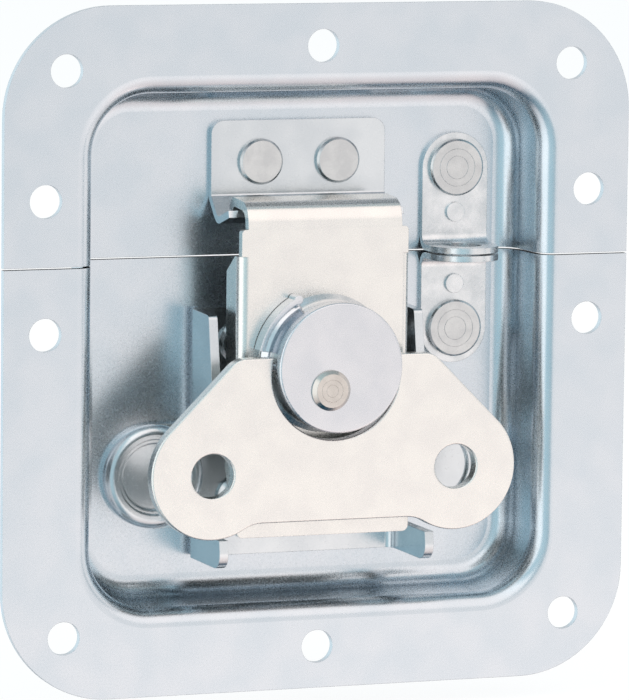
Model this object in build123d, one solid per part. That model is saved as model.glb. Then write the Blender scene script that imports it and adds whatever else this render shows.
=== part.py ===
from build123d import *
import os
from math import atan2, cos, hypot, pi, radians, sin, tan

# Recessed butterfly (twist) latch in a split dish, with a two-part padlock hasp.
#
# Frame: X across, Z up, -Y towards the person who turns the wing.
# The origin is the centre of the flange on its rear face, which lies on the case wall.
# All dimensions are in millimetres.

# ---------------------------------------------------------------- dish and flange
FLANGE_WIDTH = 108.0
FLANGE_HEIGHT = 112.0
FLANGE_CORNER = 18.0
SHEET = 1.2                 # dish sheet
RIM_X = 12.4                # flat flange beside the recess
RIM_Z = 11.3                # flat flange above and below the recess
RECESS = 12.2               # flange front to floor front
MOUTH_RADIUS = 3.0          # front bend, flange into wall
FLOOR_RADIUS = 3.4          # front bend, wall into floor
DRAFT = 3.0                 # wall slope in degrees
MOUTH_CORNER = 10.0         # corner of the recess in front view
SPLIT = 14.2                # height of the joint between the two halves
SPLIT_GAP = 0.3

SCREW_HOLE = 5.4
CORNER_INSET_X = 10.4       # corner hole centres, in from the flange edges
CORNER_INSET_Z = 10.3
SIDE_INSET = 7.0            # side hole centres, in from the flange edge
SIDE_HOLE_PITCH = 21.4      # between the two holes of one side, evenly about the joint
MIDDLE_INSET = 6.85         # middle hole centres, in from the flange edge

# ---------------------------------------------------------------- rivets through the floor
RIVET_SHANK = 3.6
REAR_HEAD = 6.4
REAR_HEAD_THICKNESS = 1.2
REAR_BEVEL = 0.4
KEEPER_RIVET_HEAD = 7.5
KEEPER_RIVET_HEIGHT = 1.0
KEEPER_RIVET_BEVEL = 0.35
KEEPER_RIVET_PITCH = 13.4
KEEPER_RIVET_Z = 29.6
HASP_RIVET_HEAD = 9.4
HASP_RIVET_HEIGHT = 1.0
HASP_RIVET_BEVEL = 0.3
UPPER_HASP_RIVET_Z = 27.9
LOWER_HASP_RIVET_Z = 1.2
BASE_RIVET_HEAD = 6.8
BASE_RIVET_HEIGHT = 1.3
BASE_RIVET_BEVEL = 0.6
BASE_RIVET_X = 10.5
BASE_RIVET_UPPER_Z = 0.0
BASE_RIVET_LOWER_Z = -25.5

# ---------------------------------------------------------------- keeper on the upper half
KEEPER_WIDTH = 30.3
KEEPER_TOP = 36.4
KEEPER_SHEET = 1.2
KEEPER_CORNER = 2.2
LIP_FROM = 23.7             # height at which the lip leaves the plate
LIP_DROP = 4.1              # fold of the lip below that
LIP_REACH = 4.1             # fold of the lip in front of the plate's back
LIP_RISE = 1.75             # free edge above the fold
LIP_OUT = 5.85              # free edge in front of the fold
LIP_BEND = 2.6              # outer bend of the gutter
PLATE_BEND = 1.6            # outer bend between plate and gutter

# ---------------------------------------------------------------- padlock hasp
HASP_X = 27.8
HASP_WIDTH = 11.6
HASP_SHEET = 1.0
HASP_BEND = 1.6             # inner bend
PADLOCK_HOLE = 6.0
PADLOCK_REACH = 5.0         # hole centre in front of the floor
PIP_DIAMETER = 3.2
PIP_HEIGHT = 0.5
PIP_DISTANCE = 7.4          # rivet centre to locating pip

# ---------------------------------------------------------------- latch base
BASE_SHEET = 1.5
BASE_BOTTOM = -35.1
BASE_TOP = 5.9
BASE_BEND = 2.8             # outer bend between plate and walls
WALL_TOP_RISE = 10.2        # wall height above the floor at the upper end
WALL_FOOT_RISE = 17.0       # wall height above the floor at the lower end
WALL_TOP_FALL = 0.3         # front corner of a wall below its back corner
WALL_TOP_CORNER = 0.8
WALL_FOOT_CORNER = 2.6
FOOT_INSET = 16.8           # foot centre, in from the side of the recess
FOOT_Z = -21.6
FOOT_RADIUS = 8.6
FOOT_NOTCH = 0.15           # gap between a foot and the walls beside it
FOOT_HEIGHT = 2.6           # rim above the floor
FOOT_RIM = 1.6              # rounding of the rim
FOOT_RING = 6.2             # inner edge of the rim
FOOT_STEP = 0.45            # small step inside the rim
FOOT_WELL = 5.5             # radius of the flat middle
FOOT_ROUNDS = [0.2, 0.15, 0.25, 0.25]   # roundings of the rim's inner edge and the step

# ---------------------------------------------------------------- turning head
AXIS_Z = -2.15              # centre line of the head, above or below the flange centre
CRANK_X = -1.85             # crank rivet at rest, from the head's centre line
CRANK_Z = -3.55
CLAW_RISE = 14.2            # claw front above the floor front
RUNNING_FIT = 0.05          # radial clearance of turning fits
END_PLAY = 0.2              # axial clearance of turning fits
SPINDLE_RADIUS = 1.9
SPINDLE_SHOULDER = 4.2
SPINDLE_COLLAR = 6.0
COLLAR_THICKNESS = 1.2
SPINDLE_HEAD = 2.35
SPINDLE_HEAD_THICKNESS = 0.6
SPINDLE_TAIL = 2.5
SPINDLE_REAR_HEAD = 4.1
DRUM_RADIUS = 10.2
DRUM_FOOT_RADIUS = 11.5
DRUM_FLARE = 1.8            # height of the flared foot
DRUM_HEIGHT = 5.6
DRUM_WALL = 1.5
DRUM_TOP = 2.4              # thick front plate, which holds the wing's pivot pins
DRUM_ROUNDS = [0, 0.8, 0, 0.2, 2.0, 0.4, 0]     # from the bore round under the plate to the front
CAP_RADIUS = 10.6
CAP_THICKNESS = 2.0
CAP_ROUND = 0.35
HORN_RADIUS = 12.5          # outside of the curved horn beside the drum
HORN_THICKNESS = 0.85
HORN_HEIGHT = 2.8
HORN_SKIRT = 1.0            # height of the sloping web that carries the horn
HORN_START = 118.0          # degrees about the head, anticlockwise from +X seen from the front
HORN_END = 168.0
HORN_KNOB = 0.75            # rounded upper end of the horn
CRANK_SHANK = 1.3
CRANK_HEAD = 3.3
CRANK_HEAD_HEIGHT = 0.9
CRANK_HEAD_BEVEL = 0.6

# ---------------------------------------------------------------- wing
WING_THICKNESS = 2.0
WING_BELOW_CAP = 2.35       # wing front behind cap front
LOBE_X = 21.0
LOBE_DROP = 17.1            # lobe centre below the head's centre line
LOBE_RADIUS = 10.4
WING_HOLE = 7.2
SHOULDER_X = 15.4
SHOULDER_RADIUS = 3.6
WING_ABOVE_AXIS = 1.7
WING_BELOW_AXIS = 25.1
CROTCH_RADIUS = 6.0         # inner corners between lobes and bridge
WING_EDGE = 0.3             # rounding of the front edges
CUT_CLEARANCE = 0.4         # wing cut-out beyond the cap
CUT_DROP = 1.0              # cut-out centre below the head's centre line
PIN_RADIUS = 0.65           # pivot pins of the wing
PIN_IN_DRUM = 3.7           # length of a pin inside the drum
PIN_IN_WING = 2.0           # pin end beyond the wing's cut-out
PIN_BEVEL = 0.15

# ---------------------------------------------------------------- claw
CLAW_SHEET = 1.5
CLAW_WIDTH = 29.8
CLAW_TOP = 19.8
CLAW_BOTTOM = -30.4
CLAW_BEND = 1.7             # outer bend of the side flanges
CLAW_CORNER = 1.0           # lower corners
CLAW_SIDE_GAP = 2.2         # claw side to the base wall beside it
NECK_STEP = 0.5             # each side of the neck, between flanges and hook, in from the claw side
NECK_CORNER = 0.7
CLAW_FLANGE = 5.9           # depth of the side flanges behind the claw front
CLAW_FLANGE_TOP = 15.4
CLAW_FLANGE_BOTTOM = -24.0
FLANGE_TOP_SLOPE = (3.9, 2.8)       # back and down, so that a raised flange passes the keeper
FLANGE_FOOT_SLOPE = (2.0, 4.4)
HOOK_STEP = 1.6             # each side of the hook, in from the claw side
HOOK_BROW = (0.2, 1.7)      # folds of the hook, behind and above the claw's front fold
HOOK_RIDGE = (0.9, 3.4)
HOOK_CROWN = (2.6, 4.3)
HOOK_ROOF = (7.9, 4.7)
HOOK_TIP = (9.3, 2.9)
HOOK_BENDS = [3.0, 3.0, 2.2, 2.0, 1.8]  # outer bends, from the front fold to the last

# ---------------------------------------------------------------- derived planes along Y
FRONT = -SHEET
FLOOR = FRONT + RECESS
FLOOR_REAR = FLOOR + SHEET
KEEPER_FACE = FLOOR - KEEPER_SHEET
HASP_FACE = FLOOR - HASP_SHEET
BASE_FACE = FLOOR - BASE_SHEET
CLAW_FACE = FLOOR - CLAW_RISE
CLAW_REAR = CLAW_FACE + CLAW_SHEET
DRUM_REAR = CLAW_FACE - END_PLAY
DRUM_FACE = DRUM_REAR - DRUM_HEIGHT
CAP_FACE = DRUM_FACE - CAP_THICKNESS
WING_FACE = CAP_FACE + WING_BELOW_CAP
WING_REAR = WING_FACE + WING_THICKNESS
PIN_Y = (WING_FACE + WING_REAR) / 2

# ---------------------------------------------------------------- other derived values
CORNER_HOLE_X = FLANGE_WIDTH / 2 - CORNER_INSET_X
CORNER_HOLE_Z = FLANGE_HEIGHT / 2 - CORNER_INSET_Z
SIDE_HOLE_X = FLANGE_WIDTH / 2 - SIDE_INSET
MIDDLE_HOLE_Z = FLANGE_HEIGHT / 2 - MIDDLE_INSET
BASE_WIDTH = CLAW_WIDTH + 2 * (CLAW_SIDE_GAP + BASE_SHEET)
CUT_RADIUS = max(CAP_RADIUS, DRUM_RADIUS) + CUT_CLEARANCE
PIN_INNER = DRUM_RADIUS - PIN_IN_DRUM
PIN_OUTER = CUT_RADIUS + PIN_IN_WING
OPEN_X = FLANGE_WIDTH / 2 - RIM_X
OPEN_Z = FLANGE_HEIGHT / 2 - RIM_Z
FOOT_X = OPEN_X - FOOT_INSET
STROKE = -2 * CRANK_Z       # lift of the claw over half a turn of the head
OVERCUT = 1.0               # how far a cutting tool runs past the material
TOLERANCE = 0.01


# ---------------------------------------------------------------- helpers
def facing(y):
    """Plane at depth y that looks to the front: local x is X, local y is Z."""
    return Plane(origin=(0, y, 0), x_dir=(1, 0, 0), z_dir=(0, -1, 0))


def plate(outline, rear, thickness):
    """Solid of a front-view outline, from its rear plane towards the front."""
    return extrude(facing(rear) * outline, amount=thickness)


def rod(radius, x, z, front, rear):
    """Cylinder along Y."""
    return plate(Pos(x, z) * Circle(radius), rear, rear - front)


def turned(profile, rear, x, z, arc=360.0, start=0.0):
    """Profile of (radius, height) turned about an axis along Y, height towards the front."""
    solid = revolve(Plane.XZ * make_face(profile), Axis.Z, revolution_arc=arc)
    return Pos(x, rear, z) * Rot(90, 0, 0) * Rot(0, 0, start) * solid


def across(profile, half_width, centre_x=0.0):
    """Closed (Y, Z) profile extruded along X."""
    return extrude(Plane.YZ.offset(centre_x - half_width) * make_face(profile), amount=2 * half_width)


def channel(half, web, rim, bend, sheet, low, high):
    """Upright U of sheet: its web lies at depth web and its sides run to depth rim."""
    path = FilletPolyline((-half, rim), (-half, web), (half, web), (half, rim), radius=bend)
    side = Side.RIGHT if rim < web else Side.LEFT
    section = make_face(offset(path, sheet, side=side, closed=True))
    return extrude(Plane.XY.offset(low) * section, amount=high - low)


def edges_at(solid, y, half_x, half_z):
    """Edges that lie wholly at depth y, inside a centred rectangle."""
    found = []
    for edge in solid.edges():
        box = edge.bounding_box()
        level = abs(box.min.Y - y) < TOLERANCE and abs(box.max.Y - y) < TOLERANCE
        inside = max(-box.min.X, box.max.X) < half_x and max(-box.min.Z, box.max.Z) < half_z
        if level and inside:
            found.append(edge)
    return found


def rivet(x, z, head, height, bevel, seat):
    """Rivet through the floor: bevelled front head on its seat, flat rear head."""
    front_head = rod(head / 2, x, z, seat - height, seat)
    front_head = chamfer(front_head.edges().group_by(Axis.Y)[0], bevel)
    rear_head = rod(REAR_HEAD / 2, x, z, FLOOR_REAR, FLOOR_REAR + REAR_HEAD_THICKNESS)
    rear_head = chamfer(rear_head.edges().group_by(Axis.Y)[-1], REAR_BEVEL)
    return front_head + rivet_hole(x, z, seat) + rear_head


def rivet_hole(x, z, seat):
    """What a rivet's shank fills, from its seat to the back of the floor."""
    return rod(RIVET_SHANK / 2, x, z, seat, FLOOR_REAR)


def keeper_rivet_places():
    return [(sign * KEEPER_RIVET_PITCH / 2, KEEPER_RIVET_Z) for sign in (-1, 1)]


def hasp_rivet_places():
    return [(HASP_X, UPPER_HASP_RIVET_Z), (HASP_X, LOWER_HASP_RIVET_Z)]


def base_rivet_places():
    heights = (BASE_RIVET_LOWER_Z, BASE_RIVET_UPPER_Z)
    return [(sign * BASE_RIVET_X, z) for z in heights for sign in (-1, 1)]


# ---------------------------------------------------------------- dish halves
def whole_dish():
    """One-piece form of the dish, before it is parted at the joint."""
    reach = MOUTH_RADIUS * tan(radians(45 - DRAFT / 2))
    half_x = OPEN_X - reach
    half_z = OPEN_Z - reach
    wall = SHEET / cos(radians(DRAFT))
    mouth = Plane(origin=(0, FRONT, 0), x_dir=(1, 0, 0), z_dir=(0, 1, 0))
    outside = RectangleRounded(2 * (half_x + wall), 2 * (half_z + wall), MOUTH_CORNER + wall)
    inside = RectangleRounded(2 * half_x, 2 * half_z, MOUTH_CORNER)
    pan = extrude(mouth * outside, amount=RECESS + SHEET, taper=DRAFT)
    pan = fillet(pan.edges().group_by(Axis.Y)[-1], FLOOR_RADIUS + SHEET)
    hollow = extrude(mouth * inside, amount=RECESS, taper=DRAFT)
    hollow = fillet(hollow.edges().group_by(Axis.Y)[-1], FLOOR_RADIUS)
    flange = plate(RectangleRounded(FLANGE_WIDTH, FLANGE_HEIGHT, FLANGE_CORNER), 0, SHEET)
    body = flange + pan
    body = fillet(edges_at(body, 0, FLANGE_WIDTH / 2 - 1, FLANGE_HEIGHT / 2 - 1), MOUTH_RADIUS - SHEET)
    body -= hollow
    return fillet(edges_at(body, FRONT, FLANGE_WIDTH / 2 - 1, FLANGE_HEIGHT / 2 - 1), MOUTH_RADIUS)


def screw_places():
    """Ten drillings of the flange."""
    sides = (-1, 1)
    places = [(i * CORNER_HOLE_X, j * CORNER_HOLE_Z) for i in sides for j in sides]
    places += [(i * SIDE_HOLE_X, SPLIT + j * SIDE_HOLE_PITCH / 2) for i in sides for j in sides]
    return places + [(0, j * MIDDLE_HOLE_Z) for j in sides]


def between(low, high):
    """Block that keeps what lies between two heights."""
    depth = 4 * RECESS
    return Pos(0, 0, (low + high) / 2) * Box(2 * FLANGE_WIDTH, depth, high - low)


def dish_halves():
    dish = whole_dish()
    for x, z in screw_places():
        dish -= rod(SCREW_HOLE / 2, x, z, FRONT - OVERCUT, OVERCUT)
    for x, z in keeper_rivet_places() + hasp_rivet_places() + base_rivet_places():
        dish -= rivet_hole(x, z, FRONT)
    dish -= rod(SPINDLE_TAIL, 0, AXIS_Z, FRONT, FLOOR_REAR)
    upper = dish & between(SPLIT + SPLIT_GAP / 2, FLANGE_HEIGHT)
    lower = dish & between(-FLANGE_HEIGHT, SPLIT - SPLIT_GAP / 2)
    return upper, lower


# ---------------------------------------------------------------- keeper
def keeper_plate():
    """Flat plate on the floor whose lower edge turns out into an open gutter."""
    fold_y = FLOOR - LIP_REACH
    fold_z = LIP_FROM - LIP_DROP
    path = FilletPolyline(
        (fold_y - LIP_OUT, fold_z + LIP_RISE),
        (fold_y, fold_z),
        (FLOOR, LIP_FROM),
        (FLOOR, KEEPER_TOP),
        radius=[LIP_BEND, PLATE_BEND],
    )
    solid = across(offset(path, KEEPER_SHEET, side=Side.LEFT, closed=True), KEEPER_WIDTH / 2)
    corners = [e for e in solid.edges().filter_by(Axis.Y) if e.center().Z > KEEPER_TOP - TOLERANCE]
    solid = fillet(corners, KEEPER_CORNER)
    for x, z in keeper_rivet_places():
        solid -= rivet_hole(x, z, FRONT)
    return solid


# ---------------------------------------------------------------- hasp
def hasp(joint, rivet_z, up):
    """Riveted strap whose ear turns out at the joint; up is 1 above it and -1 below."""
    half = HASP_WIDTH / 2
    hole_y = FLOOR - PADLOCK_REACH
    tip = hole_y - half
    end = rivet_z + up * half
    path = FilletPolyline((tip, joint), (FLOOR, joint), (FLOOR, end), radius=HASP_BEND + HASP_SHEET)
    side = Side.LEFT if up > 0 else Side.RIGHT
    solid = across(offset(path, HASP_SHEET, side=side, closed=True), half, HASP_X)
    front_view = Pos(HASP_X, (joint + rivet_z) / 2) * Rectangle(HASP_WIDTH, abs(rivet_z - joint))
    front_view += Pos(HASP_X, rivet_z) * Circle(half)
    solid &= plate(front_view, FLOOR, FLOOR - tip)
    plan = Pos(HASP_X, (hole_y + FLOOR) / 2) * Rectangle(HASP_WIDTH, PADLOCK_REACH)
    plan += Pos(HASP_X, hole_y) * Circle(half)
    plan -= Pos(HASP_X, hole_y) * Circle(PADLOCK_HOLE / 2)
    solid &= extrude(Plane.XY.offset(min(joint, end)) * plan, amount=abs(end - joint))
    solid += rod(PIP_DIAMETER / 2, HASP_X, rivet_z - up * PIP_DISTANCE, HASP_FACE - PIP_HEIGHT, HASP_FACE)
    return solid - rivet_hole(HASP_X, rivet_z, FRONT)


# ---------------------------------------------------------------- latch base
def latch_base():
    """Channel with rising side walls, cut away beside two round feet."""
    half = BASE_WIDTH / 2
    wall_rim = FLOOR - WALL_FOOT_RISE
    solid = channel(half, FLOOR, wall_rim - OVERCUT, BASE_BEND, BASE_SHEET, BASE_BOTTOM, BASE_TOP)
    side_view = FilletPolyline(
        (FLOOR, BASE_BOTTOM),
        (wall_rim, BASE_BOTTOM),
        (FLOOR - WALL_TOP_RISE, BASE_TOP - WALL_TOP_FALL),
        (FLOOR, BASE_TOP),
        radius=[0, WALL_FOOT_CORNER, WALL_TOP_CORNER, 0],
        close=True,
    )
    solid &= across(side_view, half + OVERCUT)
    for sign in (-1, 1):
        gap = Box(2 * BASE_BEND, 4 * WALL_FOOT_RISE, 2 * (FOOT_RADIUS + FOOT_NOTCH))
        solid -= Pos(sign * half, FLOOR, FOOT_Z) * gap
        solid += foot(sign)
    for x, z in base_rivet_places():
        solid -= rivet_hole(x, z, FRONT)
    return solid - rod(SPINDLE_TAIL, 0, AXIS_Z, BASE_FACE, FLOOR)


def foot(sign):
    """Neck and round boss, with a large rim and a stepped, sunken middle."""
    neck = FOOT_X - BASE_WIDTH / 2 + BASE_BEND
    strip = Pos(sign * (FOOT_X - neck / 2), FOOT_Z) * Rectangle(neck, 2 * FOOT_RADIUS)
    profile = FilletPolyline(
        (0, 0),
        (FOOT_RADIUS, 0),
        (FOOT_RADIUS, FOOT_HEIGHT),
        (FOOT_RING, FOOT_HEIGHT),
        (FOOT_RING, FOOT_HEIGHT - FOOT_STEP),
        (FOOT_WELL, FOOT_HEIGHT - FOOT_STEP),
        (FOOT_WELL, BASE_SHEET),
        (0, BASE_SHEET),
        radius=[0, 0, FOOT_RIM, *FOOT_ROUNDS, 0],
        close=True,
    )
    return plate(strip, FLOOR, BASE_SHEET) + turned(profile, FLOOR, sign * FOOT_X, FOOT_Z)


# ---------------------------------------------------------------- spindle
def spindle():
    """Shouldered stud riveted into the base, on which the drum turns."""
    shoulder_face = CLAW_REAR + END_PLAY
    head_seat = DRUM_FACE - END_PLAY
    solid = rod(SPINDLE_SHOULDER, 0, AXIS_Z, shoulder_face, BASE_FACE)
    solid += rod(SPINDLE_COLLAR, 0, AXIS_Z, BASE_FACE - COLLAR_THICKNESS, BASE_FACE)
    solid += rod(SPINDLE_RADIUS, 0, AXIS_Z, head_seat, shoulder_face)
    solid += rod(SPINDLE_HEAD, 0, AXIS_Z, head_seat - SPINDLE_HEAD_THICKNESS, head_seat)
    solid += rod(SPINDLE_TAIL, 0, AXIS_Z, BASE_FACE, FLOOR_REAR)
    return solid + rod(SPINDLE_REAR_HEAD, 0, AXIS_Z, FLOOR_REAR, FLOOR_REAR + REAR_HEAD_THICKNESS)


# ---------------------------------------------------------------- drum, cap and crank rivet
def cam_drum():
    """Cup with a thick front plate and a flared foot, and a curved horn beside it."""
    bore = SPINDLE_RADIUS + RUNNING_FIT
    under = DRUM_HEIGHT - DRUM_TOP
    cup_profile = FilletPolyline(
        (bore, under),
        (DRUM_RADIUS - DRUM_WALL, under),
        (DRUM_RADIUS - DRUM_WALL, 0),
        (DRUM_FOOT_RADIUS, 0),
        (DRUM_RADIUS, DRUM_FLARE),
        (DRUM_RADIUS, DRUM_HEIGHT),
        (bore, DRUM_HEIGHT),
        radius=DRUM_ROUNDS,
        close=True,
    )
    horn_inner = HORN_RADIUS - HORN_THICKNESS
    horn_profile = Polyline(
        (DRUM_RADIUS - DRUM_WALL / 2, 0),
        (HORN_RADIUS, 0),
        (HORN_RADIUS, HORN_HEIGHT),
        (horn_inner, HORN_HEIGHT),
        (horn_inner, HORN_SKIRT),
        (DRUM_RADIUS - DRUM_WALL / 2, DRUM_FLARE),
        close=True,
    )
    drum = turned(cup_profile, DRUM_REAR, 0, AXIS_Z)
    drum += turned(horn_profile, DRUM_REAR, 0, AXIS_Z, HORN_END - HORN_START, HORN_START)
    middle = HORN_RADIUS - HORN_THICKNESS / 2
    knob_x = middle * cos(radians(HORN_START))
    knob_z = AXIS_Z + middle * sin(radians(HORN_START))
    drum += rod(HORN_KNOB, knob_x, knob_z, DRUM_REAR - HORN_HEIGHT, DRUM_REAR)
    drum -= rod(CRANK_SHANK, CRANK_X, AXIS_Z + CRANK_Z, DRUM_FACE, DRUM_REAR)
    for sign in (-1, 1):
        drum -= pivot(sign, PIN_RADIUS, PIN_INNER, PIN_OUTER)
    return drum


def pivot(sign, radius, inner, outer):
    """Cylinder on the wing's hinge line, between two distances from the head's centre."""
    place = Pos(sign * inner, PIN_Y, AXIS_Z) * Rot(0, sign * 90, 0)
    return place * Cylinder(radius, outer - inner, align=(Align.CENTER, Align.CENTER, Align.MIN))


def trunnion(sign):
    """Pivot pin of the wing, pressed into the drum, with a bevelled free end."""
    pin = pivot(sign, PIN_RADIUS, PIN_INNER, PIN_OUTER)
    return chamfer(pin.edges().sort_by(lambda e: abs(e.center().X))[-1], PIN_BEVEL)


def cap_disc():
    disc = rod(CAP_RADIUS, 0, AXIS_Z, CAP_FACE, DRUM_FACE)
    disc = fillet(disc.edges().group_by(Axis.Y)[0], CAP_ROUND)
    head_space = END_PLAY + SPINDLE_HEAD_THICKNESS + END_PLAY
    disc -= rod(SPINDLE_HEAD + RUNNING_FIT, 0, AXIS_Z, DRUM_FACE - head_space, DRUM_FACE)
    return disc - rod(CRANK_SHANK, CRANK_X, AXIS_Z + CRANK_Z, CAP_FACE, DRUM_FACE)


def crank_rivet():
    """Rivet through cap and drum whose end is the crank pin in the claw's window."""
    head = rod(CRANK_HEAD, CRANK_X, AXIS_Z + CRANK_Z, CAP_FACE - CRANK_HEAD_HEIGHT, CAP_FACE)
    head = chamfer(head.edges().group_by(Axis.Y)[0], CRANK_HEAD_BEVEL)
    return head + rod(CRANK_SHANK, CRANK_X, AXIS_Z + CRANK_Z, CAP_FACE, CLAW_REAR)


# ---------------------------------------------------------------- wing
def wing_outline():
    """Two round lobes joined by a bridge, with sloping sides up to the shoulders."""
    shoulder_z = WING_ABOVE_AXIS - SHOULDER_RADIUS
    left = Pos(-LOBE_X, -LOBE_DROP) * Circle(LOBE_RADIUS)
    left += Pos(-SHOULDER_X, shoulder_z) * Circle(SHOULDER_RADIUS)
    right = mirror(left, Plane.YZ)
    bridge_height = WING_BELOW_AXIS + WING_ABOVE_AXIS
    middle = Pos(0, (WING_ABOVE_AXIS - WING_BELOW_AXIS) / 2)
    outline = make_hull(left.edges()) + make_hull(right.edges())
    outline += middle * Rectangle(2 * SHOULDER_X, bridge_height)
    crotches = [v for v in outline.vertices() if abs(v.Y + WING_BELOW_AXIS) < TOLERANCE]
    return fillet(crotches, CROTCH_RADIUS)


def wing_plate():
    """Butterfly plate with a round cut-out for the cap, drilled edgeways for its pivot pins."""
    outline = wing_outline() - Pos(0, -CUT_DROP) * Circle(CUT_RADIUS)
    for sign in (-1, 1):
        outline -= Pos(sign * LOBE_X, -LOBE_DROP) * Circle(WING_HOLE / 2)
    solid = plate(Pos(0, AXIS_Z) * outline, WING_REAR, WING_THICKNESS)
    solid = fillet(edges_at(solid, WING_FACE, FLANGE_WIDTH, FLANGE_HEIGHT), WING_EDGE)
    for sign in (-1, 1):
        solid -= pivot(sign, PIN_RADIUS + RUNNING_FIT, PIN_INNER, PIN_OUTER + END_PLAY)
    return solid


# ---------------------------------------------------------------- claw
def claw():
    """Flanged plate whose top folds over into a hook for the keeper's gutter."""
    folds = [HOOK_BROW, HOOK_RIDGE, HOOK_CROWN, HOOK_ROOF, HOOK_TIP]
    points = [(CLAW_FACE, CLAW_BOTTOM), (CLAW_FACE, CLAW_TOP)]
    points += [(CLAW_FACE + back, CLAW_TOP + rise) for back, rise in folds]
    path = FilletPolyline(*points, radius=HOOK_BENDS)
    solid = across(offset(path, CLAW_SHEET, side=Side.RIGHT, closed=True), CLAW_WIDTH / 2)
    solid &= plate(claw_outline(), FLOOR, RECESS + CLAW_RISE)
    return solid + claw_flanges() - claw_window()


def claw_outline():
    """Front view of the claw without its bent-back sides."""
    hook_top = CLAW_TOP + HOOK_ROOF[1] + OVERCUT
    half = CLAW_WIDTH / 2
    path = FilletPolyline(
        (0, CLAW_BOTTOM),
        (half, CLAW_BOTTOM),
        (half, CLAW_FLANGE_BOTTOM),
        (half - CLAW_BEND, CLAW_FLANGE_BOTTOM),
        (half - CLAW_BEND, CLAW_FLANGE_TOP),
        (half - NECK_STEP, CLAW_FLANGE_TOP),
        (half - NECK_STEP, CLAW_TOP),
        (half - HOOK_STEP, CLAW_TOP),
        (half - HOOK_STEP, hook_top),
        (0, hook_top),
        radius=[0, CLAW_CORNER, 0, 0, 0, 0, NECK_CORNER, 0, 0, 0],
        close=True,
    )
    right = make_face(path)
    return right + mirror(right, Plane.YZ)


def claw_flanges():
    """Sides bent back from the plate, with sloping ends."""
    rear = CLAW_FACE + CLAW_FLANGE
    half = CLAW_WIDTH / 2
    sides = channel(half, CLAW_FACE, rear, CLAW_BEND, CLAW_SHEET, CLAW_FLANGE_BOTTOM, CLAW_FLANGE_TOP)
    top_back, top_down = FLANGE_TOP_SLOPE
    foot_back, foot_up = FLANGE_FOOT_SLOPE
    side_view = Polyline(
        (CLAW_FACE, CLAW_FLANGE_BOTTOM),
        (rear - foot_back, CLAW_FLANGE_BOTTOM),
        (rear, CLAW_FLANGE_BOTTOM + foot_up),
        (rear, CLAW_FLANGE_TOP - top_down),
        (rear - top_back, CLAW_FLANGE_TOP),
        (CLAW_FACE, CLAW_FLANGE_TOP),
        close=True,
    )
    return sides & across(side_view, half + OVERCUT)


def claw_window():
    """Cut for the spindle and the crank pin, with room for the pin's whole path."""
    spindle_half = SPINDLE_RADIUS + END_PLAY
    spindle_way = Pos(0, -STROKE / 2) * Rectangle(2 * spindle_half, STROKE + 2 * spindle_half)
    heights = pin_heights()
    left = CRANK_X - CRANK_SHANK - END_PLAY
    right = hypot(CRANK_X, CRANK_Z) + CRANK_SHANK + END_PLAY
    low = min(heights) - CRANK_SHANK - END_PLAY
    high = max(heights) + CRANK_SHANK + END_PLAY
    crank_way = Pos((left + right) / 2, (low + high) / 2) * Rectangle(right - left, high - low)
    return plate(Pos(0, AXIS_Z) * (spindle_way + crank_way), CLAW_REAR + OVERCUT, CLAW_SHEET + 2 * OVERCUT)


def pin_heights():
    """Heights of the crank pin against the claw, which rises evenly over half a turn."""
    throw = hypot(CRANK_X, CRANK_Z)
    start = atan2(CRANK_Z, CRANK_X)
    turns = [radians(step) for step in range(181)]
    return [throw * sin(start + turn) - STROKE * turn / pi for turn in turns]


# ---------------------------------------------------------------- write the pieces
def pieces():
    upper, lower = dish_halves()
    named = {
        "upper_dish": upper,
        "lower_dish": lower,
        "keeper_plate": keeper_plate(),
        "upper_hasp": hasp(SPLIT + SPLIT_GAP / 2, UPPER_HASP_RIVET_Z, 1),
        "lower_hasp": hasp(SPLIT - SPLIT_GAP / 2, LOWER_HASP_RIVET_Z, -1),
        "latch_base": latch_base(),
        "spindle": spindle(),
        "cam_drum": cam_drum(),
        "cap_disc": cap_disc(),
        "crank_rivet": crank_rivet(),
        "trunnion_left": trunnion(-1),
        "trunnion_right": trunnion(1),
        "wing_plate": wing_plate(),
        "claw": claw(),
    }
    for name, (x, z) in zip(("left", "right"), keeper_rivet_places()):
        size = (KEEPER_RIVET_HEAD, KEEPER_RIVET_HEIGHT, KEEPER_RIVET_BEVEL)
        named["keeper_rivet_" + name] = rivet(x, z, *size, KEEPER_FACE)
    for name, (x, z) in zip(("upper", "lower"), hasp_rivet_places()):
        size = (HASP_RIVET_HEAD, HASP_RIVET_HEIGHT, HASP_RIVET_BEVEL)
        named[name + "_hasp_rivet"] = rivet(x, z, *size, HASP_FACE)
    for name, (x, z) in zip(("lower_left", "lower_right", "upper_left", "upper_right"), base_rivet_places()):
        size = (BASE_RIVET_HEAD, BASE_RIVET_HEIGHT, BASE_RIVET_BEVEL)
        named["base_rivet_" + name] = rivet(x, z, *size, BASE_FACE)
    return named


os.makedirs("parts", exist_ok=True)
for node, solid in pieces().items():
    export_step(solid, os.path.join("parts", node + ".step"))
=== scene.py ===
# %% [markdown]
# # A recessed butterfly latch
# The latch is pressed and folded from plated steel sheet, so nearly all of its look is the plating.
# The solids come from the CAD model as a fixed frame. This notebook gives every piece its finish,
# adds the marks that a rivet tool leaves behind, and sets up the camera, the floor and the lights.

# %% Load the frame
import bpy
from math import cos, pi, radians, sin, tan
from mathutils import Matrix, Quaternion, Vector


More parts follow.
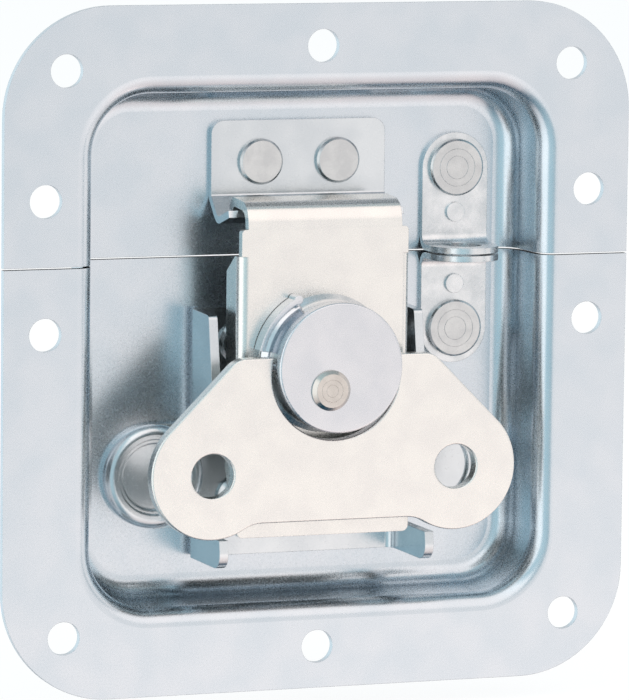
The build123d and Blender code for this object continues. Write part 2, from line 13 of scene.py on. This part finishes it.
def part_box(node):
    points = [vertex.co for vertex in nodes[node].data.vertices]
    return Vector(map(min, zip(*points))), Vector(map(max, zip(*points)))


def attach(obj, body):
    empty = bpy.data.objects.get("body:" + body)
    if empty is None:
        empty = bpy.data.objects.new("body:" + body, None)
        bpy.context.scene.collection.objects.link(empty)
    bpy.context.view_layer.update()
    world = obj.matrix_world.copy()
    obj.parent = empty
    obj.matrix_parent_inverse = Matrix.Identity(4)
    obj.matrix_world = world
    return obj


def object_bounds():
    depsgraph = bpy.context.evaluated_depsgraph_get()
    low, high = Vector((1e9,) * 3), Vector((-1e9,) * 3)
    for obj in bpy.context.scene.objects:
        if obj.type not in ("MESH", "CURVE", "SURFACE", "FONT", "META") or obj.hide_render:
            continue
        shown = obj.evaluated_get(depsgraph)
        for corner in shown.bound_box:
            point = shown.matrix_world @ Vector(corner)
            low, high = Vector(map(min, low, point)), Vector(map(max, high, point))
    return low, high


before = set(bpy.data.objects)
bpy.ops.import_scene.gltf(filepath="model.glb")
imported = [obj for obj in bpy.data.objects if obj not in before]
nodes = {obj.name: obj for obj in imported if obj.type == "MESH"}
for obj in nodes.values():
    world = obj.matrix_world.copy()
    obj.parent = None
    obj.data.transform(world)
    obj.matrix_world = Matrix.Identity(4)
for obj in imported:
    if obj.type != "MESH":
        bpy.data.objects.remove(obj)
cad_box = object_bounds()
MM = 0.001
print("CAD box", cad_box, "with", len(nodes), "nodes")

# %% [markdown]
# ## Three small helpers
# A finish is written as the hex value that a painter would pick, and shaders work in linear light,
# so one function turns the first into the second. Another adds a node together with its settings,
# its plain values and its incoming links, which keeps each material short enough to read. The third
# mixes two colours, which both the plating and the room need.

# %% Colour and node helpers
def linear(hex_colour):
    """sRGB hex text to a linear RGBA tuple."""
    channels = [int(hex_colour[i:i + 2], 16) / 255 for i in (1, 3, 5)]
    return tuple(c / 12.92 if c <= 0.04045 else ((c + 0.055) / 1.055) ** 2.4 for c in channels) + (1.0,)


def add_node(tree, kind, values=None, links=None, **settings):
    """A new node with its settings, input values and input links."""
    node = tree.nodes.new(kind)
    for name, value in settings.items():
        setattr(node, name, value)
    for name, value in (values or {}).items():
        node.inputs[name].default_value = value
    for name, socket in (links or {}).items():
        tree.links.new(socket, node.inputs[name])
    return node


FIRST_COLOUR, SECOND_COLOUR, MIXED_COLOUR = 6, 7, 2  # colour sockets of the Mix node


def blend_colours(tree, share, first, second):
    """Mix of two colours; each is a hex text or a socket."""
    mix = add_node(tree, "ShaderNodeMix", data_type="RGBA", links={"Factor": share})
    for index, colour in ((FIRST_COLOUR, first), (SECOND_COLOUR, second)):
        if isinstance(colour, str):
            mix.inputs[index].default_value = linear(colour)
        else:
            tree.links.new(colour, mix.inputs[index])
    return mix.outputs[MIXED_COLOUR]


print("a middle grey is", round(linear("#808080")[0], 3), "in linear light")

# %% [markdown]
# ## Plated steel sheet
# Plating follows the sheet under it. It shows the fine grain of the rolled steel, a slow change of
# tone where the bath was uneven, and the slight waviness that pressing leaves in a flat face. A
# painted texture could hold all this, but it would need an unwrapped surface, and noise in real
# millimetres fits every piece as it is. The tone and the waviness share one noise a few millimetres
# wide. The grain is a second one a few tenths of a millimetre wide, which is coarser than the real
# grain so that it shows. Where the press sheared the sheet the edge is softly rounded: the Bevel
# node bends the shading there and leaves the shape alone.

# %% A plated steel material
NOISE_DETAIL = 2.0
BATH_SPREAD = {"From Min": 0.35, "From Max": 0.65}
GRAIN_SPREAD = {"From Min": 0.3, "From Max": 0.7}
ROUGHNESS_SWING = 0.15
BEVEL_SAMPLES = 4


def noise_of_size(tree, place, size):
    """Noise whose blotches are about a size in millimetres."""
    values = {"Scale": 1 / (size * MM), "Detail": NOISE_DETAIL}
    return add_node(tree, "ShaderNodeTexNoise", values, {"Vector": place}).outputs["Fac"]


def bump_on(tree, height, normal, depth):
    """Normal of a surface raised by a height, up to a depth in millimetres."""
    values = {"Strength": 1.0, "Distance": depth * MM}
    return add_node(tree, "ShaderNodeBump", values, {"Height": height, "Normal": normal}).outputs["Normal"]


def plated_steel(name, colour, shade, roughness,
                 grain=0.3, depth=0.0012, mottle=7.0, wave=0.012, edge=0.16):
    """Metal with a slow tone, waviness and grain; all lengths are in millimetres."""
    material = bpy.data.materials.new(name)
    material.use_nodes = True
    tree = material.node_tree
    shader = tree.nodes["Principled BSDF"]
    shader.inputs["Metallic"].default_value = 1.0
    place = add_node(tree, "ShaderNodeTexCoord").outputs["Object"]
    bath = noise_of_size(tree, place, mottle)
    share = add_node(tree, "ShaderNodeMapRange", BATH_SPREAD, {"Value": bath}).outputs["Result"]
    tree.links.new(blend_colours(tree, share, colour, shade), shader.inputs["Base Color"])
    fine = noise_of_size(tree, place, grain)
    reach = {"To Min": roughness * (1 - ROUGHNESS_SWING), "To Max": roughness * (1 + ROUGHNESS_SWING)}
    rough = add_node(tree, "ShaderNodeMapRange", {**GRAIN_SPREAD, **reach}, {"Value": fine})
    tree.links.new(rough.outputs["Result"], shader.inputs["Roughness"])
    rounded = add_node(tree, "ShaderNodeBevel", {"Radius": edge * MM}, samples=BEVEL_SAMPLES)
    waved = bump_on(tree, bath, rounded.outputs["Normal"], wave)
    tree.links.new(bump_on(tree, fine, waved, depth), shader.inputs["Normal"])
    print("made", name)
    return material


# %% [markdown]
# ## The finishes of the sheet pieces
# One function makes every plating, because they are all metal over the same rolled sheet. What sets
# them apart is the tint that the bath leaves, how sharp the mirror is and how coarse the grain is.

# %% Finishes of dish, straps, claw and wing
# Zinc with a clear blue passivation: a cold, nearly even mirror with a hint of grain.
bright_zinc = plated_steel("bright_zinc_sheet", "#D0D9E0", "#CAD5DD", 0.26, depth=0.0008, wave=0.006)
# The same zinc on folded strap, tumbled with other small parts: paler, with more waviness.
strap_zinc = plated_steel("zinc_strap", "#D7DEE2", "#CCD4D9", 0.24, depth=0.0015)
# Galvanised strip: deep, coarse grain and small grey clouds, so that it sparkles.
galvanised = plated_steel(
    "galvanised_strap", "#E0E5E8", "#CDD4D8", 0.28,
    grain=0.45, depth=0.008, mottle=3.0,
)
# Nickel over smooth sheet: warm, white and satin, with hardly any grain.
nickel = plated_steel(
    "nickel_plate", "#E7E8E5", "#E2E3E1", 0.28,
    depth=0.0004, mottle=4.0, wave=0.006,
)

# %% [markdown]
# ## The finishes of the turned and riveted pieces
# Cap, drum and rivets were turned or headed before they were plated. A turned face is smoother than
# sheet, and a rivet head is coarser, because the punch bruises the plating. They come from the same
# function, which keeps them in one family with the sheet.

# %% Finishes of drum, cap and rivets
# Bright plate on a drawn cup: the sharpest mirror on the latch.
drum_plate = plated_steel("bright_drum_plate", "#DEE2E6", "#D2D6DC", 0.16)
# The same bath over a faced disc: a satin, slightly violet white.
cap_plate = plated_steel("satin_cap_plate", "#D7DBE0", "#D0D5DB", 0.26, mottle=5.0)
# Headed rivets: greyer and grainier than the sheet that they hold.
rivet_steel = plated_steel(
    "plated_rivet", "#CFD3D4", "#C4C8CA", 0.24,
    grain=0.4, depth=0.003, mottle=2.5,
)
# The turned crank rivet: its thin plating lets a little of the steel's warmth through.
turned_rivet = plated_steel("turned_rivet", "#D0CDC8", "#C6C3BE", 0.24, depth=0.002, mottle=2.0)

# %% [markdown]
# ## Which piece has which plating
# The dish is bright zinc. The claw and the wing come from another bath and are warmer and whiter.
# The hasp is cut from galvanised strip. A table of names says this in one place, and every piece
# that is not in it is a rivet or a pin.

# %% Assign the finishes
FINISH = {
    "upper_dish": bright_zinc, "lower_dish": bright_zinc,
    "keeper_plate": strap_zinc, "latch_base": strap_zinc,
    "upper_hasp": galvanised, "lower_hasp": galvanised,
    "claw": nickel, "wing_plate": nickel,
    "cam_drum": drum_plate, "cap_disc": cap_plate, "crank_rivet": turned_rivet,
}
for name, piece in nodes.items():
    piece.data.materials.clear()
    piece.data.materials.append(FINISH.get(name, rivet_steel))
    for polygon in piece.data.polygons:
        polygon.material_index = 0
print(len(nodes), "nodes have a finish,", len(nodes) - len(FINISH), "of them as rivets and pins")

# %% [markdown]
# ## The joint between the two halves
# The dish is pressed in one piece, plated, and sheared in two, so the two cut edges that face each
# other are bare, rough steel. Their dark colour is painted shade, the shade of the closed joint, and
# it draws a dark line across the dish. A strip of dark metal behind the joint would paint the same
# shade from the front, but it would show from the back, so the cut faces themselves carry the
# painted shade.

# %% Bare edges in the joint, painted dark as shade
JOINT_TOLERANCE = 0.02 * MM
MOSTLY_UPRIGHT = 0.9  # share of a face's normal that points up or down
# Sheared steel: torn and dull, with hardly any rounding; its near-black colour is painted shade of the
# closed joint.
bare_edge_painted_shade = plated_steel(
    "sheared_edge_painted_shade", "#2B3338", "#20272B", 0.6,
    grain=0.2, depth=0.004, mottle=1.5, edge=0.02,
)


def bare_joint_painted_shade(name, level):
    """Give the faces that lie on the joint's level the bare steel with its painted shade."""
    mesh = nodes[name].data
    mesh.materials.append(bare_edge_painted_shade)
    count = 0
    for polygon in mesh.polygons:
        on_level = abs(polygon.center[2] - level) < JOINT_TOLERANCE
        if on_level and abs(polygon.normal[2]) > MOSTLY_UPRIGHT:
            polygon.material_index = 1
            count += 1
    print(name, "has", count, "bare faces in the joint")


bare_joint_painted_shade("upper_dish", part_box("upper_dish")[0][2])
bare_joint_painted_shade("lower_dish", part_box("lower_dish")[1][2])

# %% [markdown]
# ## Tool marks on the rivet heads
# A rivet is closed by a shaped punch, which leaves low rings round the middle of the head. A bump
# could draw them, but it would leave the head's shape smooth, so each ring is a real shape, a few
# hundredths of a millimetre high. One Geometry Nodes tree makes them all: a mesh line gives the ring
# numbers, each number becomes the scale of a circle instance, and a thin round wire is swept along
# every circle.

# %% A tree that makes rings
RING_SIDES = 64
WIRE_SIDES = 8
RING_INPUTS = {
    "Geometry": "NodeSocketGeometry", "Rings": "NodeSocketInt",
    "First Radius": "NodeSocketFloat", "Spacing": "NodeSocketFloat",
    "Wire Radius": "NodeSocketFloat", "Finish": "NodeSocketMaterial",
}


def ring_tree():
    """Concentric rings facing the front; sizes and material are named inputs."""
    tree = bpy.data.node_groups.new("punch_rings", "GeometryNodeTree")
    for name, kind in RING_INPUTS.items():
        tree.interface.new_socket(name, in_out="INPUT", socket_type=kind)
    tree.interface.new_socket("Geometry", in_out="OUTPUT", socket_type="NodeSocketGeometry")
    given = add_node(tree, "NodeGroupInput").outputs
    steps = add_node(tree, "GeometryNodeMeshLine", {"Offset": (0, 0, 0)}, {"Count": given["Rings"]})
    number = add_node(tree, "GeometryNodeInputIndex")
    reach = add_node(
        tree, "ShaderNodeMath", operation="MULTIPLY_ADD",
        links={0: number.outputs[0], 1: given["Spacing"], 2: given["First Radius"]},
    )
    circle = add_node(tree, "GeometryNodeCurvePrimitiveCircle", {"Resolution": RING_SIDES, "Radius": 1.0})
    placed = add_node(
        tree, "GeometryNodeInstanceOnPoints",
        links={"Points": steps.outputs["Mesh"], "Instance": circle.outputs["Curve"],
               "Scale": reach.outputs[0]},
    )
    loops = add_node(tree, "GeometryNodeRealizeInstances", links={"Geometry": placed.outputs["Instances"]})
    wire = add_node(
        tree, "GeometryNodeCurvePrimitiveCircle", {"Resolution": WIRE_SIDES},
        {"Radius": given["Wire Radius"]},
    )
    swept = add_node(
        tree, "GeometryNodeCurveToMesh",
        links={"Curve": loops.outputs["Geometry"], "Profile Curve": wire.outputs["Curve"]},
    )
    quarter_turn = {"Rotation": (pi / 2, 0, 0)}
    stood = add_node(tree, "GeometryNodeTransform", quarter_turn, {"Geometry": swept.outputs["Mesh"]})
    centres = add_node(
        tree, "GeometryNodeInstanceOnPoints",
        links={"Points": given["Geometry"], "Instance": stood.outputs["Geometry"]},
    )
    solid = add_node(tree, "GeometryNodeRealizeInstances", links={"Geometry": centres.outputs["Instances"]})
    finished = add_node(
        tree, "GeometryNodeSetMaterial",
        links={"Geometry": solid.outputs["Geometry"], "Material": given["Finish"]},
    )
    add_node(tree, "NodeGroupOutput", links={"Geometry": finished.outputs["Geometry"]})
    print("ring tree with", len(tree.nodes), "nodes")
    return tree


RINGS = ring_tree()

# %% [markdown]
# ## From the tree to a plain mesh
# The rings turn with their rivet, so each moving body needs a piece of its own. The tree works on an
# object that holds only the centre points. Its inputs are set before Blender first works it out,
# the result is taken as a plain mesh, and the helper object goes away.

# %% Make rings on a body
def punch_rings(name, body, centres, sizes, finish):
    """Rings round each centre as one plain mesh that rides on a body; lengths in metres."""
    points = bpy.data.meshes.new(name + "_points")
    points.from_pydata(centres, [], [])
    source = bpy.data.objects.new(name + "_source", points)
    bpy.context.scene.collection.objects.link(source)
    modifier = source.modifiers.new("rings", "NODES")
    modifier.node_group = RINGS
    given = {**sizes, "Finish": finish}
    for item in RINGS.interface.items_tree:
        if item.in_out == "INPUT" and item.name in given:
            modifier[item.identifier] = given[item.name]
    bpy.context.view_layer.update()
    evaluated = source.evaluated_get(bpy.context.evaluated_depsgraph_get())
    mesh = bpy.data.meshes.new_from_object(evaluated)
    mesh.name = name
    mesh.shade_smooth()
    bpy.data.objects.remove(source)
    piece = bpy.data.objects.new(name, mesh)
    bpy.context.scene.collection.objects.link(piece)
    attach(piece, body)
    print(name, len(mesh.polygons), "faces")


# %% [markdown]
# ## Rings on the heads
# The middle of each head comes from the frame: the head is the frontmost and widest part of its
# rivet, so the box of the node gives both. The wire's middle lies in the face, so the rings are half
# sunk. The two hasp rivets were headed by a wide punch, and the crank rivet by a small one.

# %% Place the rings
HASP_RINGS = {"Rings": 2, "First Radius": 1.9 * MM, "Spacing": 1.2 * MM, "Wire Radius": 0.04 * MM}
CRANK_RINGS = {"Rings": 2, "First Radius": 1.0 * MM, "Spacing": 0.8 * MM, "Wire Radius": 0.03 * MM}


def head_centre(name):
    """Middle of a rivet head's front face."""
    low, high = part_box(name)
    return ((low[0] + high[0]) / 2, low[1], (low[2] + high[2]) / 2)


hasp_heads = [head_centre(side + "_hasp_rivet") for side in ("upper", "lower")]
punch_rings("hasp_rivet_rings", "case", hasp_heads, HASP_RINGS, rivet_steel)
punch_rings("crank_rivet_rings", "cam", [head_centre("crank_rivet")], CRANK_RINGS, turned_rivet)

# %% [markdown]
# ## Camera
# The latch is a flat plate with a deep middle. Seen square on, the depth would be lost, and a short
# lens near by would bend the outline. A long lens from the left and a little above shows the walls
# of the dish and keeps the flange's sides nearly parallel.

# %% Place the camera
AZIMUTH = radians(-20.82)
ELEVATION = radians(6.97)
ROLL = radians(0.645)
DISTANCE = 0.93423
FOCAL_LENGTH = 295.8  # millimetres
TARGET = Vector((-0.00100, -0.0012, -0.00032))


def towards(azimuth, elevation):
    """Unit vector from the latch towards an angle; azimuth 0 is straight in front."""
    return Vector((sin(azimuth) * cos(elevation), -cos(azimuth) * cos(elevation), sin(elevation)))


view_from = towards(AZIMUTH, ELEVATION)
camera_data = bpy.data.cameras.new("camera")
camera_data.lens = FOCAL_LENGTH
camera = bpy.data.objects.new("camera", camera_data)
camera.location = TARGET + view_from * DISTANCE
camera.rotation_mode = "QUATERNION"
camera.rotation_quaternion = view_from.to_track_quat("Z", "Y") @ Quaternion((0, 0, 1), ROLL)
bpy.context.scene.collection.objects.link(camera)
bpy.context.scene.camera = camera
print("camera at", tuple(round(c, 4) for c in camera.location))

# %% [markdown]
# ## Floor
# The latch stands over plain white paper. To the camera the paper mostly glows white, and it keeps a
# share of its real shading, so that the shadow of the latch stays on it. A backdrop card would stand
# in the way when the latch is seen from behind, so the world gives the white above the horizon.
# Reflections and lamps pass through the floor, because the lower bends of the bright sheet mirror
# what is under the latch, and solid paper there would turn them dark.

# %% Lay the floor
SHADOW_SHARE = 0.2
PAPER_GLOW = 1.09  # a little over 1, since the shaded share is darker than white
FLOOR_REACH = 2.0
FLOOR_DROP = 0.004


def white_floor():
    """White to the camera, with a share of real shading in it."""
    material = bpy.data.materials.new("floor_paper")
    material.use_nodes = True
    tree = material.node_tree
    shader = tree.nodes["Principled BSDF"]
    shader.inputs["Base Color"].default_value = linear("#F4F5F5")
    shader.inputs["Roughness"].default_value = 0.9
    seen = add_node(tree, "ShaderNodeLightPath").outputs["Is Camera Ray"]
    glow_share = add_node(tree, "ShaderNodeMath", {1: 1 - SHADOW_SHARE}, {0: seen}, operation="MULTIPLY")
    glow = add_node(tree, "ShaderNodeEmission", {"Strength": PAPER_GLOW})
    blend = add_node(
        tree, "ShaderNodeMixShader",
        links={0: glow_share.outputs[0], 1: shader.outputs[0], 2: glow.outputs[0]},
    )
    tree.links.new(blend.outputs[0], tree.nodes["Material Output"].inputs["Surface"])
    return material


floor_z = cad_box[0][2] - FLOOR_DROP
corners = [(i * FLOOR_REACH, j * FLOOR_REACH, floor_z) for i, j in ((-1, -1), (1, -1), (1, 1), (-1, 1))]
floor_mesh = bpy.data.meshes.new("floor")
floor_mesh.from_pydata(corners, [], [(0, 1, 2, 3)])
floor_mesh.materials.append(white_floor())
floor = bpy.data.objects.new("floor", floor_mesh)
bpy.context.scene.collection.objects.link(floor)
floor.visible_glossy = False
floor.visible_shadow = False
print("floor at", round(floor_z / MM, 1), "mm")

# %% [markdown]
# ## Lamps
# Bright plating shows the room more than it shows itself. One big lamp would leave it flat, so soft
# boxes stand round it with gaps between them: the flat sheet mirrors the front box, the rolled edges
# mirror the others as white bands, and the gaps give the thin dark lines between. Each box is given
# as the window of directions that it fills, because that is what a mirror sees of it. At strength 1
# a perfect mirror of the box would be white. A reflection shows the room behind a box as well, so
# the boxes stay under 1, and they are slightly warm to balance the blue-green room.

# %% Hang the soft boxes
LAMP_TINT = "#FFE4D8"
LAMP_DISTANCE = 0.9
SOFT_BOXES = {  # degrees from left to right, degrees from low to high, strength
    "front_box": ((0, 56), (-74, 12), 0.66),
    "low_front_box": ((0, 58), (-60, -10), 0.31),
    "left_box": ((-105, -42), (-55, 42), 0.8),
    "high_box": ((-20, 55), (13, 66), 0.95),
    "right_box": ((56, 108), (-60, 45), 0.75),
    "rear_box": ((140, 220), (-35, 35), 0.4),
}


def soft_box(name, across, upward, strength):
    """Area lamp that fills a window of directions, in degrees of azimuth and elevation."""
    elevation = radians(sum(upward) / 2)
    direction = towards(radians(sum(across) / 2), elevation)
    half_width = radians((across[1] - across[0]) / 2)
    half_height = radians((upward[1] - upward[0]) / 2)
    lamp = bpy.data.lights.new(name, "AREA")
    lamp.shape = "RECTANGLE"
    lamp.size = 2 * LAMP_DISTANCE * tan(half_width) * cos(elevation)
    lamp.size_y = 2 * LAMP_DISTANCE * tan(half_height)
    lamp.color = linear(LAMP_TINT)[:3]
    lamp.energy = strength * pi * lamp.size * lamp.size_y
    holder = bpy.data.objects.new(name, lamp)
    holder.location = direction * LAMP_DISTANCE
    holder.rotation_euler = direction.to_track_quat("Z", "Y").to_euler()
    bpy.context.scene.collection.objects.link(holder)
    print(name, round(lamp.size, 2), "by", round(lamp.size_y, 2), "m")


for name, (across, upward, strength) in SOFT_BOXES.items():
    soft_box(name, across, upward, strength)

# %% [markdown]
# ## The room in the reflections
# Between the lamps the metal mirrors the room, and the walls of the dish pick up its blue-green. The
# room could be modelled, but only its colour matters, so the world paints it by direction: paler on
# the left than on the right, and deep blue-green below. The camera itself sees plain white there.

# %% Paint the room
ROOM_LEFT, ROOM_RIGHT, ROOM_BELOW = "#D4F1FA", "#B4C5CC", "#0E4E68"
ROOM_STRENGTH = 0.9
LEFT_TO_RIGHT = {"From Min": -0.35, "From Max": 0.2}
BELOW_TO_LEVEL = {"From Min": -0.9, "From Max": -0.3}
WHITE = (1, 1, 1, 1)

world = bpy.data.worlds.new("blue_green_room")
world.use_nodes = True
room = world.node_tree
around = add_node(room, "ShaderNodeTexCoord").outputs["Generated"]
heading = add_node(room, "ShaderNodeSeparateXYZ", links={"Vector": around}).outputs
right_share = add_node(room, "ShaderNodeMapRange", LEFT_TO_RIGHT, {"Value": heading["X"]})
level_share = add_node(room, "ShaderNodeMapRange", BELOW_TO_LEVEL, {"Value": heading["Z"]})
sides = blend_colours(room, right_share.outputs["Result"], ROOM_LEFT, ROOM_RIGHT)
walls = blend_colours(room, level_share.outputs["Result"], ROOM_BELOW, sides)
mirrored = room.nodes["Background"]
mirrored.inputs["Strength"].default_value = ROOM_STRENGTH
room.links.new(walls, mirrored.inputs["Color"])
seen = add_node(room, "ShaderNodeLightPath").outputs["Is Camera Ray"]
plain = add_node(room, "ShaderNodeBackground", {"Color": WHITE, "Strength": 1.0})
blend = add_node(
    room, "ShaderNodeMixShader",
    links={0: seen, 1: mirrored.outputs[0], 2: plain.outputs[0]},
)
room.links.new(blend.outputs[0], room.nodes["World Output"].inputs["Surface"])
bpy.context.scene.world = world
bpy.context.scene.view_settings.view_transform = "Standard"
print("world", world.name, "with", len(room.nodes), "nodes")
